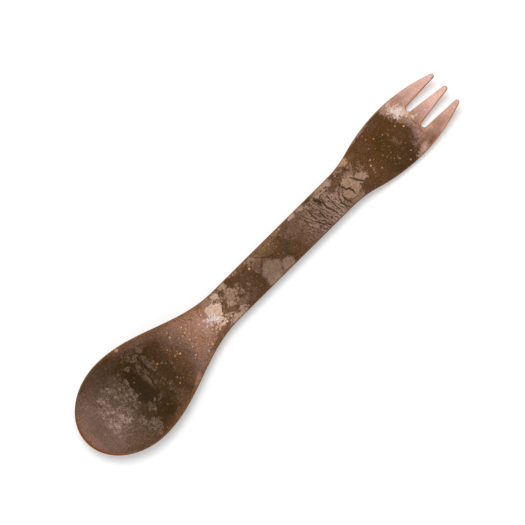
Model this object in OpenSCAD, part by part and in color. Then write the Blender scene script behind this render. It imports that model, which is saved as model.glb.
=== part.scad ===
// Double-ended spork, moulded in one piece from a plant-fibre composite.
// The spoon bowl is at the -X end and the three-tined fork at the +X end of a flat handle.
// Its hollow side faces up, and it rests on the bowl's belly and on the fork's heel.

/* [Overall] */
// Length from the tip of the bowl to the tip of the middle tine
overall_l = 190; // [170:1:210]
// Rounding of every edge of the moulding
edge_r = 0.6; // [0.3:0.05:0.65]

/* [Bowl] */
// Width of the bowl at its widest place
bowl_w = 37.4; // [30:0.2:44]
// Length from the tip of the bowl to its widest place
bowl_front_l = 23.6; // [18:0.2:28]
// Length from the widest place of the bowl to the handle
bowl_back_l = 49.6; // [44:0.2:55]
// Depth of the hollow below the rim
bowl_depth = 7.2; // [5:0.1:10]
// Thickness at the bottom of the bowl
bowl_wall = 1.8; // [1.5:0.1:3]
// Thickness at the rim of the bowl
rim_t = 1.6; // [1.5:0.1:2.4]
// How far the tip of the bowl lies below the rest of the rim
bowl_tip_drop = 0.6; // [0:0.1:2]
// Length of the level stretch between the end of the hollow and the handle
bowl_neck_l = 4.6; // [0:0.2:12]

/* [Handle] */
// Width of the handle
handle_w = 14.5; // [11:0.1:18]
// Thickness of the handle
handle_t = 2.8; // [2:0.1:4]
// Height of the underside of the handle above the table
handle_lift = 4.2; // [2:0.1:6]

/* [Fork] */
// Width of the fork head at its widest place
fork_w = 23.9; // [20:0.1:28]
// Width across the tips of the outer tines
fork_tip_w = 14.6; // [13.6:0.1:17]
// Length of the concave neck between the handle and the shoulder
fork_neck_l = 12; // [8:0.2:16]
// Length of the rounded shoulder, from the neck to the widest place
fork_shoulder_l = 21; // [16:0.2:26]
// Length from the widest place of the fork to its tips
fork_head_l = 24; // [21:0.2:28]
// Depth of the hollow across the fork head
fork_dish = 1.5; // [0.5:0.1:3]
// Depth of the hollow across the tips of the tines
tip_dish = 0.6; // [0:0.1:1.5]
// Thickness of the fork head
fork_t = 2.2; // [1.6:0.1:3]
// Thickness of the tines at their tips
tine_tip_t = 1.6; // [1.4:0.1:2.4]
// Height of the tips of the tines above the table, at their upper side
fork_tip_z = 9; // [6:0.1:12]
// Length from the heel, on which the fork rests, to the widest place of the fork
heel_back_l = 6; // [2:0.2:12]

/* [Tines] */
// Length of the gaps between the tines
gap_l = 16.7; // [12:0.1:20]
// Radius of the round bottom of each gap
gap_root_r = 1.15; // [0.8:0.05:1.4]
// Distance from the middle of the handle to the bottom of each gap
gap_root_y = 4.15; // [3.6:0.05:4.8]
// Radius of the tip of the middle tine
mid_tip_r = 1.05; // [0.8:0.05:1.3]
// Radius of the tips of the outer tines
outer_tip_r = 0.95; // [0.7:0.05:1.1]
// How much shorter the outer tines are than the middle one
outer_tine_short_l = 0.4; // [0:0.1:1.5]

/* [Hidden] */

// Places along the spork, measured from the tip of the bowl
handle_x0 = bowl_front_l + bowl_back_l;
handle_x1 = overall_l - fork_head_l - fork_shoulder_l - fork_neck_l;
shoulder_x = handle_x1 + fork_neck_l;
fork_wide_x = shoulder_x + fork_shoulder_l;
heel_x = fork_wide_x - heel_back_l;

// Heights of the upper side along the outline
bowl_rim_z = bowl_depth + bowl_wall;
handle_top_z = handle_lift + handle_t;
heel_rim_z = fork_dish + fork_t;

// How steeply the hollow, the belly and the fork's neck curve: powers of a share of the width or length
hollow_power = 2.3;
belly_power = 2.5;
neck_power = 2.2;

// Half the width where the concave neck meets the round shoulder without a corner
neck_pull = neck_power / fork_neck_l;
shoulder_pull = 2 / fork_shoulder_l;
shoulder_half_w = (neck_pull * handle_w + shoulder_pull * fork_w) / (neck_pull + shoulder_pull) / 2;

// The tip of the bowl starts at this width's place instead of at a point
nose_l = 0.08;

// Rings of points along each stretch, and points across half the width and on each rounded edge
front_rings = 14;
back_rings = 16;
neck_rings = 6;
shoulder_rings = 7;
wide_rings = 3;
tip_rings = 14;
half_points = 5;
edge_points = 2;

// Steps in each arc of the tine gaps, and the angle at which the outer arc leaves the outer tine
arc_steps = 10;
outer_arc_end = 60;
// How far cuts run past the material
overrun = 2;

// Smooth change from a to b as share goes from 0 to 1, level at both ends
function blend(a, b, share) = a + (b - a) * (1 - cos(180 * min(max(share, 0), 1))) / 2;

// Half the width of the outline at x
function half_width(x) =
    x < bowl_front_l ? bowl_w / 2 * sqrt(1 - pow(1 - max(x, nose_l) / bowl_front_l, 2)) :
    x < handle_x0 ? blend(bowl_w / 2, handle_w / 2, (x - bowl_front_l) / bowl_back_l) :
    x < handle_x1 ? handle_w / 2 :
    x < shoulder_x
        ? handle_w / 2 + (shoulder_half_w - handle_w / 2) * pow((x - handle_x1) / fork_neck_l, neck_power) :
    x < fork_wide_x
        ? fork_w / 2 - (fork_w / 2 - shoulder_half_w) * pow((fork_wide_x - x) / fork_shoulder_l, 2) :
    fork_w / 2 - (fork_w - fork_tip_w) / 2 * pow((x - fork_wide_x) / fork_head_l, 2);

// Height of the upper side at the outline
function rim_z(x) =
    x < bowl_front_l ? bowl_rim_z - bowl_tip_drop * pow(1 - x / bowl_front_l, 2) :
    x < handle_x0 ? blend(bowl_rim_z, handle_top_z, (x - bowl_front_l) / bowl_back_l) :
    x < heel_x ? blend(handle_top_z, heel_rim_z, (x - handle_x1) / (heel_x - handle_x1)) :
    heel_rim_z + (fork_tip_z - heel_rim_z) * pow((x - heel_x) / (overall_l - heel_x), 2);

// Depth of the hollow below the rim, along the middle
function hollow_depth(x) =
    x < handle_x0 ? blend(bowl_depth, 0, (x - bowl_front_l) / (bowl_back_l - bowl_neck_l)) :
    x < heel_x ? blend(0, fork_dish, (x - handle_x1) / (heel_x - handle_x1)) :
    blend(fork_dish, tip_dish, (x - heel_x) / (overall_l - heel_x));

// Thickness along the fork, and the whole thickness along the outline and along the middle
function fork_thickness(x) =
    x < heel_x ? blend(handle_t, fork_t, (x - handle_x1) / (heel_x - handle_x1)) :
    blend(fork_t, tine_tip_t, (x - heel_x) / (overall_l - heel_x));
function rim_thickness(x) =
    x < handle_x0 ? blend(rim_t, handle_t, (x - bowl_front_l) / bowl_back_l) : fork_thickness(x);
function middle_thickness(x) =
    x < handle_x0 ? blend(bowl_wall, handle_t, (x - bowl_front_l) / bowl_back_l) : fork_thickness(x);

// Share of the full depth at x, side being -1 and 1 at the outline and 0 in the middle.
// The front of the bowl is dished about its widest place, and the rest only from side to side.
function depth_share(x, side, power) =
    let (ahead = max(1 - x / bowl_front_l, 0))
    1 - pow(norm([ahead, side * sqrt(1 - ahead * ahead)]), power);

// Heights of the upper and lower sides
function upper_z(x, side) = rim_z(x) - hollow_depth(x) * depth_share(x, side, hollow_power);
function lower_z(x, side) =
    rim_z(x) - rim_thickness(x)
    - (hollow_depth(x) + middle_thickness(x) - rim_thickness(x)) * depth_share(x, side, belly_power);

// How far the rounded edge draws the surface in, at a distance from the edge
function edge_drop(distance) =
    distance < edge_r ? edge_r - sqrt(max(edge_r * edge_r - pow(edge_r - distance, 2), 0)) : 0;

// Distances from the middle line at which each ring has its points, close together near the edges
function ring_sides(x) =
    let (
        flat_w = half_width(x) - edge_r,
        inner = [for (i = [0:half_points]) flat_w * sin(90 * i / half_points)],
        rounded = [for (i = [1:edge_points]) flat_w + edge_r * sin(90 * i / edge_points)],
        right = concat(inner, rounded)
    )
    concat([for (i = [len(right) - 1:-1:1]) -right[i]], right);

// One side of a ring of points, upper or lower
function ring_row(x, is_upper) = [
    for (y = ring_sides(x))
        let (
            w = half_width(x),
            side = y / w,
            drop = min(edge_drop(w - abs(y)) + edge_drop(min(x, overall_l - x)), edge_r)
        )
        [x, y, is_upper ? upper_z(x, side) - drop : lower_z(x, side) + drop]
];

// Where the rings stand: close together at both ends, and none along the straight handle
ring_places = concat(
    [for (i = [0:front_rings]) bowl_front_l * (1 - cos(90 * i / front_rings))],
    [for (i = [1:back_rings]) bowl_front_l + bowl_back_l * i / back_rings],
    [for (i = [0:neck_rings]) handle_x1 + fork_neck_l * i / neck_rings],
    [for (i = [1:shoulder_rings]) shoulder_x + (heel_x - shoulder_x) * i / shoulder_rings],
    [for (i = [1:wide_rings]) heel_x + heel_back_l * i / wide_rings],
    [for (i = [1:tip_rings]) fork_wide_x + fork_head_l * sin(90 * i / tip_rings)]
);

// Two triangles over the four corners of a patch, split the other way when flipped
function patch(a, b, c, d, flipped) = flipped ? [[a, b, d], [b, c, d]] : [[a, b, c], [a, c, d]];

// The whole moulding with the fork head still closed, as rings of points joined by triangles
module blank() {
    middle = half_points + edge_points;
    row = 2 * middle + 1;
    ring = 2 * row;
    last = len(ring_places) - 1;
    points = [
        for (x = ring_places)
            for (is_upper = [true, false])
                each ring_row(x, is_upper)
    ];
    upper = [
        for (i = [0:last - 1])
            for (k = [0:row - 2])
                let (a = i * ring + k)
                each patch(a + 1, a + ring + 1, a + ring, a, k < middle)
    ];
    lower = [
        for (i = [0:last - 1])
            for (k = [0:row - 2])
                let (a = i * ring + row + k)
                each patch(a, a + ring, a + ring + 1, a + 1, k >= middle)
    ];
    flanks = [
        for (i = [0:last - 1])
            for (k = [0, row - 1])
                let (a = i * ring + k, b = a + row)
                each k == 0 ? patch(a, a + ring, b + ring, b, false) : patch(b, b + ring, a + ring, a, false)
    ];
    ends = [
        for (i = [0, last])
            for (k = [0:row - 2])
                let (a = i * ring + k, b = a + row)
                each i == 0 ? patch(a, b, b + 1, a + 1, false) : patch(a + 1, b + 1, b, a, false)
    ];
    polyhedron(points = points, faces = concat(upper, lower, flanks, ends));
}

// Points along an arc
function arc(centre, r, from, to) = [
    for (i = [0:arc_steps])
        let (angle = from + (to - from) * i / arc_steps)
        centre + r * [cos(angle), sin(angle)]
];

// Direction of the straight line that passes between two circles and touches both
function line_between(a, a_r, b, b_r, turn) =
    atan2(b[1] - a[1], b[0] - a[0]) + turn * asin((a_r + b_r) / norm(b - a));

// Outline of the air round the tines: two round-bottomed gaps, and what lies beyond the tips
module tine_gaps() {
    root = [overall_l - gap_l + gap_root_r, gap_root_y];
    mid_tip = [overall_l - mid_tip_r, 0];
    outer_tip_x = overall_l - outer_tine_short_l - outer_tip_r;
    outer_slope = (fork_w - fork_tip_w) * (outer_tip_x - fork_wide_x) / pow(fork_head_l, 2);
    outer_tip = [outer_tip_x, half_width(outer_tip_x) - outer_tip_r * norm([1, outer_slope])];
    inner_line = line_between(root, gap_root_r, mid_tip, mid_tip_r, 1);
    outer_line = line_between(root, gap_root_r, outer_tip, outer_tip_r, -1);
    half = concat(
        arc(mid_tip, mid_tip_r, 0, 90 + inner_line),
        arc(root, gap_root_r, 270 + inner_line, 90 + outer_line),
        arc(outer_tip, outer_tip_r, 270 + outer_line, 360 + outer_arc_end),
        [[outer_tip_x + outer_tip_r, fork_w / 2 + overrun], [overall_l + overrun, fork_w / 2 + overrun]]
    );
    polygon(concat(half, [for (i = [len(half) - 1:-1:1]) [half[i][0], -half[i][1]]]));
}

// The spork, with its origin under the middle of its length
module spork() {
    color("#5a4030")
        translate([-overall_l / 2, 0, 0])
            difference() {
                blank();
                translate([0, 0, -overrun])
                    linear_extrude(height = fork_tip_z + 2 * overrun)
                        tine_gaps();
            }
}

spork();
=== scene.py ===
# Looks of a double-ended spork moulded from a mottled plant-fibre composite.
import math

import bpy
import numpy as np
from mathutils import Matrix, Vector
from mathutils.geometry import delaunay_2d_cdt
from mathutils.kdtree import KDTree


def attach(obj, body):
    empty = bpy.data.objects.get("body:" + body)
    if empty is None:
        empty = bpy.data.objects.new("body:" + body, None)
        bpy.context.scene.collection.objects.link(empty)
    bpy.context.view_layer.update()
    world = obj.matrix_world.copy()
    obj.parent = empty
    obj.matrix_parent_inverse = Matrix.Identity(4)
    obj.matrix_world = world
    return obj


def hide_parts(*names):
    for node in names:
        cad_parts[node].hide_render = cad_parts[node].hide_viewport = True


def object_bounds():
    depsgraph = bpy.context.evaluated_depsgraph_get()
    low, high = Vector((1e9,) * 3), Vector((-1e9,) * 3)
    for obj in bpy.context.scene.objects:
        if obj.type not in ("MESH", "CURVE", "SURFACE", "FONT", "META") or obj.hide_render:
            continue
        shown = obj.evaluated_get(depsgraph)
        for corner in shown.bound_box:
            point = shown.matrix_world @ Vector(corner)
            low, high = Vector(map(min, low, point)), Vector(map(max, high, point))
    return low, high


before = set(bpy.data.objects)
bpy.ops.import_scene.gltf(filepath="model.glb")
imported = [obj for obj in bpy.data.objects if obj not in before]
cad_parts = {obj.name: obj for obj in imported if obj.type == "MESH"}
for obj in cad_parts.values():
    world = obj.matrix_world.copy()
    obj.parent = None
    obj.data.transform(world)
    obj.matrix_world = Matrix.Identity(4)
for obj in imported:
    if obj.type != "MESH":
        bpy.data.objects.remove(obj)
cad_low, cad_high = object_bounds()

# Sizes in millimetres, as in the part's source. X runs from the tip of the bowl.
MM = 0.001
LENGTH = (cad_high[0] - cad_low[0]) / MM
BOWL_HALF_W = (cad_high[1] - cad_low[1]) / MM / 2
EDGE_R = 0.6
BOWL_FRONT_L = 23.6
BOWL_BACK_L = 49.6
BOWL_DEPTH = 7.2
BOWL_WALL = 1.8
RIM_T = 1.6
BOWL_TIP_DROP = 0.6
BOWL_NECK_L = 4.6
HANDLE_W = 14.5
HANDLE_T = 2.8
HANDLE_LIFT = 4.2
FORK_W = 23.9
FORK_TIP_W = 14.6
FORK_NECK_L = 12
FORK_SHOULDER_L = 21
FORK_HEAD_L = 24
FORK_DISH = 1.5
TIP_DISH = 0.6
FORK_T = 2.2
TINE_TIP_T = 1.6
FORK_TIP_Z = 9
HEEL_BACK_L = 6
GAP_L = 16.7
GAP_ROOT_R = 1.15
GAP_ROOT_Y = 4.15
MID_TIP_R = 1.05
OUTER_TIP_R = 0.95
OUTER_SHORT_L = 0.4
HOLLOW_POWER = 2.3
BELLY_POWER = 2.5
NECK_POWER = 2.2

# Places along the spork and heights of its upper edge
HANDLE_X0 = BOWL_FRONT_L + BOWL_BACK_L
HANDLE_X1 = LENGTH - FORK_HEAD_L - FORK_SHOULDER_L - FORK_NECK_L
SHOULDER_X = HANDLE_X1 + FORK_NECK_L
FORK_WIDE_X = SHOULDER_X + FORK_SHOULDER_L
HEEL_X = FORK_WIDE_X - HEEL_BACK_L
BOWL_RIM_Z = BOWL_DEPTH + BOWL_WALL
HANDLE_TOP_Z = HANDLE_LIFT + HANDLE_T
HEEL_RIM_Z = FORK_DISH + FORK_T
NECK_PULL = NECK_POWER / FORK_NECK_L
SHOULDER_PULL = 2 / FORK_SHOULDER_L
SHOULDER_HALF_W = (NECK_PULL * HANDLE_W + SHOULDER_PULL * FORK_W) / (NECK_PULL + SHOULDER_PULL) / 2

# How finely the surface is built
OUTLINE_STEP = 0.35
ARC_STEP = 0.12
UPPER_GRID = 0.3
LOWER_GRID = 0.5
EDGE_RINGS = 6
MARK_MARGIN = 0.35
RING_CLEARANCE_SHARE = 0.55
MIN_ARC_STEPS = 3
MIN_LINE_STEPS = 2
SHORTEST_SQUARED = 1e-12
MERGE_DISTANCE = 1e-7

# The photo's frame: a point on the spork's middle line, the spork's angle and the photo's scale
PHOTO_SIZE = 525
PHOTO_REF = np.array([242.6, 288.77])
PHOTO_ANGLE = math.radians(44.75)
PHOTO_REF_X = 219.6
MM_PER_PIXEL = 0.3746
PHOTO_ALONG = np.array([math.cos(PHOTO_ANGLE), -math.sin(PHOTO_ANGLE)])
PHOTO_ACROSS = np.array([-math.sin(PHOTO_ANGLE), -math.cos(PHOTO_ANGLE)])
CAMERA_LENS = 200
CAMERA_SENSOR = 36


# Shape

def blend(a, b, share):
    """Smooth change from a to b as share goes from 0 to 1, level at both ends."""
    return a + (b - a) * (1 - np.cos(np.pi * np.clip(share, 0, 1))) / 2


def half_width(x):
    front = BOWL_HALF_W * np.sqrt(np.clip(1 - (1 - x / BOWL_FRONT_L) ** 2, 0, 1))
    back = blend(BOWL_HALF_W, HANDLE_W / 2, (x - BOWL_FRONT_L) / BOWL_BACK_L)
    neck_share = np.maximum(x - HANDLE_X1, 0) / FORK_NECK_L
    neck = HANDLE_W / 2 + (SHOULDER_HALF_W - HANDLE_W / 2) * neck_share ** NECK_POWER
    shoulder = FORK_W / 2 - (FORK_W / 2 - SHOULDER_HALF_W) * ((FORK_WIDE_X - x) / FORK_SHOULDER_L) ** 2
    head = FORK_W / 2 - (FORK_W - FORK_TIP_W) / 2 * ((x - FORK_WIDE_X) / FORK_HEAD_L) ** 2
    places = [x < BOWL_FRONT_L, x < HANDLE_X0, x < HANDLE_X1, x < SHOULDER_X, x < FORK_WIDE_X]
    return np.select(places, [front, back, HANDLE_W / 2 + 0 * x, neck, shoulder], head)


def heel_share(x):
    return (x - HANDLE_X1) / (HEEL_X - HANDLE_X1)


def tine_share(x):
    return (x - HEEL_X) / (LENGTH - HEEL_X)


def rim_z(x):
    front = BOWL_RIM_Z - BOWL_TIP_DROP * (1 - x / BOWL_FRONT_L) ** 2
    back = blend(BOWL_RIM_Z, HANDLE_TOP_Z, (x - BOWL_FRONT_L) / BOWL_BACK_L)
    heel = blend(HANDLE_TOP_Z, HEEL_RIM_Z, heel_share(x))
    tines = HEEL_RIM_Z + (FORK_TIP_Z - HEEL_RIM_Z) * tine_share(x) ** 2
    return np.select([x < BOWL_FRONT_L, x < HANDLE_X0, x < HEEL_X], [front, back, heel], tines)


def hollow_depth(x):
    bowl = blend(BOWL_DEPTH, 0, (x - BOWL_FRONT_L) / (BOWL_BACK_L - BOWL_NECK_L))
    heel = blend(0, FORK_DISH, heel_share(x))
    tines = blend(FORK_DISH, TIP_DISH, tine_share(x))
    return np.select([x < HANDLE_X0, x < HEEL_X], [bowl, heel], tines)


def thickness(x, bowl_t):
    bowl = blend(bowl_t, HANDLE_T, (x - BOWL_FRONT_L) / BOWL_BACK_L)
    heel = blend(HANDLE_T, FORK_T, heel_share(x))
    tines = blend(FORK_T, TINE_TIP_T, tine_share(x))
    return np.select([x < HANDLE_X0, x < HEEL_X], [bowl, heel], tines)


def depth_share(x, y, power):
    """Share of the full depth: 1 along the middle, 0 at the outline."""
    ahead = np.maximum(1 - x / BOWL_FRONT_L, 0)
    half = np.where(x < BOWL_FRONT_L, BOWL_HALF_W, half_width(x))
    return 1 - np.minimum(np.hypot(ahead, y / half), 1) ** power


def upper_z(x, y):
    return rim_z(x) - hollow_depth(x) * depth_share(x, y, HOLLOW_POWER)


def lower_z(x, y):
    belly = hollow_depth(x) + thickness(x, BOWL_WALL) - thickness(x, RIM_T)
    return rim_z(x) - thickness(x, RIM_T) - belly * depth_share(x, y, BELLY_POWER)


# Outline, seen from above

def arc(centre, r, start, end):
    steps = max(int(abs(end - start) * r / ARC_STEP), MIN_ARC_STEPS)
    angles = np.linspace(start, end, steps + 1)
    return np.column_stack([centre[0] + r * np.cos(angles), centre[1] + r * np.sin(angles)])


def straight(a, b):
    steps = max(int(np.linalg.norm(np.subtract(b, a)) / OUTLINE_STEP), MIN_LINE_STEPS)
    share = np.linspace(0, 1, steps + 1)[1:-1, None]
    return np.asarray(a) * (1 - share) + np.asarray(b) * share


def line_between(a, a_r, b, b_r, turn):
    """Direction of the straight line that passes between two circles and touches both."""
    gap = np.subtract(b, a)
    return math.atan2(gap[1], gap[0]) + turn * math.asin((a_r + b_r) / np.hypot(*gap))


def half_outline():
    """Points from the tip of the bowl, along the +Y side and round the tines, to the middle tine's tip."""
    root = (LENGTH - GAP_L + GAP_ROOT_R, GAP_ROOT_Y)
    mid_tip = (LENGTH - MID_TIP_R, 0)
    outer_x = LENGTH - OUTER_SHORT_L - OUTER_TIP_R
    slope = (FORK_W - FORK_TIP_W) * (outer_x - FORK_WIDE_X) / FORK_HEAD_L ** 2
    outer_tip = (outer_x, float(half_width(np.array(outer_x))) - OUTER_TIP_R * math.hypot(1, slope))
    leaving = math.pi / 2 - math.atan(slope)
    inner_line = line_between(root, GAP_ROOT_R, mid_tip, MID_TIP_R, 1)
    outer_line = line_between(root, GAP_ROOT_R, outer_tip, OUTER_TIP_R, -1)

    bowl_angles = np.linspace(0, math.pi / 2, int(BOWL_FRONT_L * math.pi / 2 / OUTLINE_STEP))
    front = np.column_stack([BOWL_FRONT_L * (1 - np.cos(bowl_angles)), BOWL_HALF_W * np.sin(bowl_angles)])
    side_end = outer_x + OUTER_TIP_R * math.cos(leaving)
    side_x = np.linspace(BOWL_FRONT_L, side_end, int((side_end - BOWL_FRONT_L) / OUTLINE_STEP))[1:-1]
    side = np.column_stack([side_x, half_width(side_x)])
    tip = arc(outer_tip, OUTER_TIP_R, leaving, outer_line - math.pi / 2)
    gap = arc(root, GAP_ROOT_R, outer_line + math.pi / 2, inner_line + 3 * math.pi / 2)
    middle = arc(mid_tip, MID_TIP_R, inner_line + math.pi / 2, 0)
    return np.vstack([front, side, tip, straight(tip[-1], gap[0]), gap, straight(gap[-1], middle[0]), middle])


def full_outline():
    """The whole outline, clockwise as seen from above."""
    half = half_outline()
    mirrored = half[::-1][1:-1] * [1, -1]
    return np.vstack([half, mirrored])


def inward(outline):
    """Unit direction into the material at each outline point."""
    along = np.roll(outline, -1, 0) - np.roll(outline, 1, 0)
    along /= np.linalg.norm(along, axis=1)[:, None]
    return np.column_stack([along[:, 1], -along[:, 0]])


def distance_to(points, path, closed=False):
    """Distance of each point from a path of straight pieces, and its nearest place on it, from 0 to 1."""
    ends = np.roll(path, -1, 0) if closed else path[1:]
    starts = path if closed else path[:-1]
    best = np.full(len(points), np.inf)
    nearest = np.zeros(len(points))
    for i, (a, b) in enumerate(zip(starts, ends)):
        piece = b - a
        share = np.clip((points - a) @ piece / max(piece @ piece, SHORTEST_SQUARED), 0, 1)
        gap = np.linalg.norm(points - a - share[:, None] * piece, axis=1)
        nearer = gap < best
        best[nearer] = gap[nearer]
        nearest[nearer] = (i + share[nearer]) / len(starts)
    return best, nearest


# Mesh

def grid_in(ring, step, marks):
    """Points of a staggered grid inside a ring, at half the step where a mark is near."""
    low, high = ring.min(0), ring.max(0)
    fine = step / 2
    rows = int((high[1] - low[1]) / (fine * math.sqrt(3) / 2))
    columns = int((high[0] - low[0]) / fine) + 1
    row, column = np.meshgrid(np.arange(rows), np.arange(columns), indexing="ij")
    x = low[0] + (column + row % 2 / 2) * fine
    y = low[1] + row * fine * math.sqrt(3) / 2
    coarse = (row % 2 == 0) & ((column + row // 2) % 2 == 0)
    points = np.column_stack([x.ravel(), y.ravel()])
    wanted = coarse.ravel() | near_marks(points, marks)
    points = points[wanted]
    points = points[inside_ring(points, ring)]
    return points[nearest_of(points, ring)[0] > step * RING_CLEARANCE_SHARE]


def near_marks(points, marks):
    near = np.zeros(len(points), bool)
    for path, half in marks:
        reach = half + MARK_MARGIN
        low, high = path.min(0) - reach, path.max(0) + reach
        inside = np.flatnonzero(((points > low) & (points < high)).all(axis=1))
        near[inside] |= distance_to(points[inside], path)[0] < reach
    return near


def fill(ring, step, marks):
    """Points and triangles that fill a closed ring of points."""
    placed = np.vstack([ring, grid_in(ring, step, marks)])
    edges = [(i, (i + 1) % len(ring)) for i in range(len(ring))]
    found = delaunay_2d_cdt([Vector(p) for p in placed], edges, [], 0, MERGE_DISTANCE)
    if len(found[0]) != len(placed):
        raise ValueError("two points of the outline fall together")
    faces = np.array([[found[3][v][0] for v in face] for face in found[2]])
    middles = placed[faces].mean(axis=1)
    return placed, faces[inside_ring(middles, ring)]


def inside_ring(points, ring):
    """Which points lie inside a closed ring, by counting crossings."""
    inside = np.zeros(len(points), bool)
    order = np.argsort(points[:, 1])
    heights = points[order, 1]
    for a, b in zip(ring, np.roll(ring, -1, 0)):
        first, last = np.searchsorted(heights, sorted([a[1], b[1]]))
        if first == last:
            continue
        beside = order[first:last]
        at = a[0] + (points[beside, 1] - a[1]) / (b[1] - a[1]) * (b[0] - a[0])
        inside[beside] ^= points[beside, 0] < at
    return inside


def nearest_of(points, ring):
    """Distance of each point from the nearest point of a ring, and which of the ring's points that is."""
    tree = KDTree(len(ring))
    for i, (x, y) in enumerate(ring):
        tree.insert((x, y, 0), i)
    tree.balance()
    found = [tree.find((x, y, 0)) for x, y in points]
    return np.array([distance for _, _, distance in found]), np.array([index for _, index, _ in found])


def build_side(outline, normal, height, direction, step, marks):
    """One side's points and faces. Direction is 1 for the upper side and -1 for the lower."""
    count = len(outline)
    points, faces = [], []
    for i in range(EDGE_RINGS + 1):
        angle = math.pi / 2 * i / EDGE_RINGS
        ring = outline + normal * EDGE_R * (1 - math.cos(angle))
        drop = direction * EDGE_R * (1 - math.sin(angle))
        points.append(np.column_stack([ring, height(ring[:, 0], ring[:, 1]) - drop]))
    for i in range(EDGE_RINGS):
        for k in range(count):
            n = (k + 1) % count
            faces.append([i * count + k, (i + 1) * count + k, (i + 1) * count + n, i * count + n])
    placed, triangles = fill(ring, step, marks)
    inner = placed[count:]
    points.append(np.column_stack([inner, height(inner[:, 0], inner[:, 1])]))
    faces += (triangles + EDGE_RINGS * count).tolist()
    return np.vstack(points), [f[::direction] for f in faces]


def build_surface(marks):
    """Points and faces of the whole moulding, and which points are on the upper side."""
    outline = full_outline()
    normal = inward(outline)
    upper, faces = build_side(outline, normal, upper_z, 1, UPPER_GRID, marks)
    lower, lower_faces = build_side(outline, normal, lower_z, -1, LOWER_GRID, [])
    first = len(upper)
    faces += [[first + v for v in face] for face in lower_faces]
    for k in range(len(outline)):
        n = (k + 1) % len(outline)
        faces.append([k, n, first + n, first + k])
    return np.vstack([upper, lower]), faces, np.arange(first + len(lower)) < first


# Colours of the surface, painted at the mesh's points

TONES = {
    "peat": "31220f", "dark olive": "432f19", "umber": "563b25", "brown": "664833", "earth": "5d4939",
    "rose brown": "775c50", "rust": "835837", "dusty rose": "9a7362", "pink": "ad8372", "rosy": "c69a8b",
    "tip pink": "eec1b2", "pearl": "f2ddd7", "cream": "e0bfa9", "beige": "b59780", "tan": "a2806a",
    "stone": "84705f", "ash": "7b665a", "pale ash": "977e74", "ochre": "b0844f", "amber": "864a1c",
    "edge brown": "7d5233", "tine edge": "c07e4e", "russet": "6f4a35", "dusty brown": "83695a",
    "dusty tan": "866c5b", "dusty ash": "987e73", "rose ash": "71574a", "olive tan": "7a5a3e",
    "ochre tan": "bd9370", "tan rose": "b08672", "apricot": "d09a6c", "moss green": "66502a",
    "dull ash": "6a5648", "grey brown": "8c6f5b", "peach": "d9a994", "lit gold brown": "875a2e",
    "tan pink": "ae8b78", "beige pink": "bd9c8a", "mouse brown": "79604f", "bark brown": "4a3110",
    "fur cream": "e3bea5", "rose cream": "e4c2b0", "saddle": "5b3b19", "gold": "cc9350",
    "bark dark": "402b0d", "dull rose": "8b6553", "warm tan": "ae8c71", "wood rose": "99715b",
    "tine brown": "a07766",
}


def colour(tone):
    """Linear colour of one of the tones, by the sRGB curve."""
    code = TONES[tone]
    parts = np.array([int(code[i:i + 2], 16) for i in (0, 2, 4)]) / 255
    return np.where(parts <= 0.04045, parts / 12.92, ((parts + 0.055) / 1.055) ** 2.4)


def smooth_step(value, low, high):
    share = np.clip((value - low) / (high - low), 0, 1)
    return share * share * (3 - 2 * share)


def within(apart, soft):
    """1 inside a patch and 0 outside, with a soft edge."""
    return 1 - smooth_step(apart, 1 - soft, 1 + soft)


def tint(field, share, shade):
    """Moves the colours of a field towards one shade by each point's share."""
    field += share[:, None] * (shade - field)


# Seeds of the random draws
GROUND_SEED = 11
PATCH_SEEDS = (21, 31)
CRACK_SEED = 41
BRISTLE_SEEDS = (51, 53)
EDGE_SEED = 61
UNDER_SEED = 5

LATTICE = 256


def ripple(x, y, size, seed):
    """Smooth random value from -1 to 1 that changes over about one size."""
    lattice = np.random.default_rng(seed).uniform(-1, 1, (LATTICE, LATTICE))
    u, v = x / size, y / size
    i, j = np.floor(u).astype(int), np.floor(v).astype(int)
    fu, fv = smooth_step(u - i, 0, 1), smooth_step(v - j, 0, 1)
    i, j, i1, j1 = i % LATTICE, j % LATTICE, (i + 1) % LATTICE, (j + 1) % LATTICE
    near = lattice[i, j] * (1 - fu) + lattice[i1, j] * fu
    far = lattice[i, j1] * (1 - fu) + lattice[i1, j1] * fu
    return near * (1 - fv) + far * fv


def clumps(x, y, size, seed, levels=3):
    total = sum(ripple(x, y, size / 2 ** k, seed + k) / 2 ** k for k in range(levels))
    return total / (2 - 2 ** (1 - levels))


# Main tone of the ground along the spork
GROUND_RUN = [
    (0, "rose brown"), (10, "rose brown"), (18, "earth"), (26, "dark olive"), (41, "dark olive"),
    (46, "brown"), (51, "rose brown"), (57, "wood rose"), (66, "wood rose"), (72, "brown"),
    (80, "umber"), (106, "umber"), (113, "brown"), (120, "rose brown"), (131, "dusty brown"),
    (137, "brown"), (146, "umber"), (169.6, "umber"), (172, "dusty rose"), (176, "rosy"), (183, "tip pink"),
    (190, "tip pink"),
]
GROUND_WAVER = 2
GROUND_WAVER_SIZE = 5
TINE_WAVER_DROP = 1.6
HEAD_BEND = 0.055
TINE_GRAIN_DROP = 0.5
SPECKLE = 0.2
NO_FLAKE = -1.5
PATCH_WAVER_SIZE = 1.6
BRISTLE_W = 0.45
FINE_BRISTLE_W = 0.3
BRISTLE_REACH = 1.1
CRACK_WAVER = 0.2
CRACK_WAVER_SIZE = 0.7

# Stretches of the spork over which something sets in or ends
HEAD_BEND_X = (150, 162)
TINE_WAVER_X = (168, 176)
TINE_GRAIN_X = (170, 177)
TINE_EDGE_X = (166, 174)
FRONT_EDGE_X = (1, 12)
WARM_START_X = (14, 30)
WARM_END_X = (66, 80)


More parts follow.
